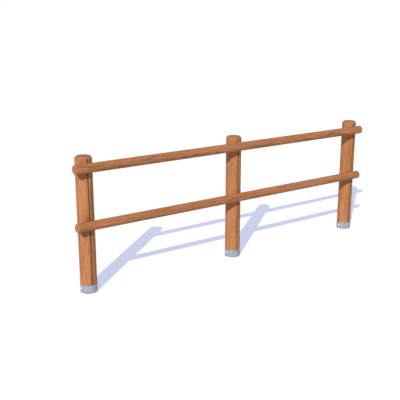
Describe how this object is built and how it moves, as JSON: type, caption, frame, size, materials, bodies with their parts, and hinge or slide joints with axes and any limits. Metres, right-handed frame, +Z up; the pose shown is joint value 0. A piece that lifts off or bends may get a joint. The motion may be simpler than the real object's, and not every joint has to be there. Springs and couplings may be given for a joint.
{
  "type": "post and rail fence",
  "caption": "Open timber post-and-rail fence built in bays: round chamfered posts in galvanised steel shoes, with round rails screwed along their front.",
  "frame": {"origin": "centre of the middle shoe's underside, at ground level on the middle post's axis", "axes": "+X along the fence to the right as seen from the front, +Y from the front, where the rails are, to the back, +Z up"},
  "size_m": [3.2201, 0.2149, 1.14],
  "materials": {
    "post_timber": "turned softwood, stained light reddish brown, satin, grain along the post",
    "rail_timber": "turned softwood, stained reddish brown, satin, grain along the rail",
    "galvanised_steel": "hot-dip galvanised, matt pale grey with faint spangle",
    "bright_zinc": "bright zinc plated, smooth",
    "dull_zinc": "zinc plated, dulled by weather"
  },
  "bodies": {
    "root": {"left_post": "post_timber", "middle_post": "post_timber", "right_post": "post_timber", "upper_rail": "rail_timber", "lower_rail": "rail_timber", "left_shoe": "galvanised_steel", "middle_shoe": "galvanised_steel", "right_shoe": "galvanised_steel", "left_shoe_bolt": "bright_zinc", "middle_shoe_bolt": "bright_zinc", "right_shoe_bolt": "bright_zinc", "left_cap_nut": "bright_zinc", "middle_cap_nut": "bright_zinc", "right_cap_nut": "bright_zinc", "left_upper_screw": "dull_zinc", "middle_upper_screw": "dull_zinc", "right_upper_screw": "dull_zinc", "left_lower_screw": "dull_zinc", "middle_lower_screw": "dull_zinc", "right_lower_screw": "dull_zinc", "left_upper_washer": "dull_zinc", "middle_upper_washer": "dull_zinc", "right_upper_washer": "dull_zinc", "left_lower_washer": "dull_zinc", "middle_lower_washer": "dull_zinc", "right_lower_washer": "dull_zinc"}
  },
  "joints": []
}
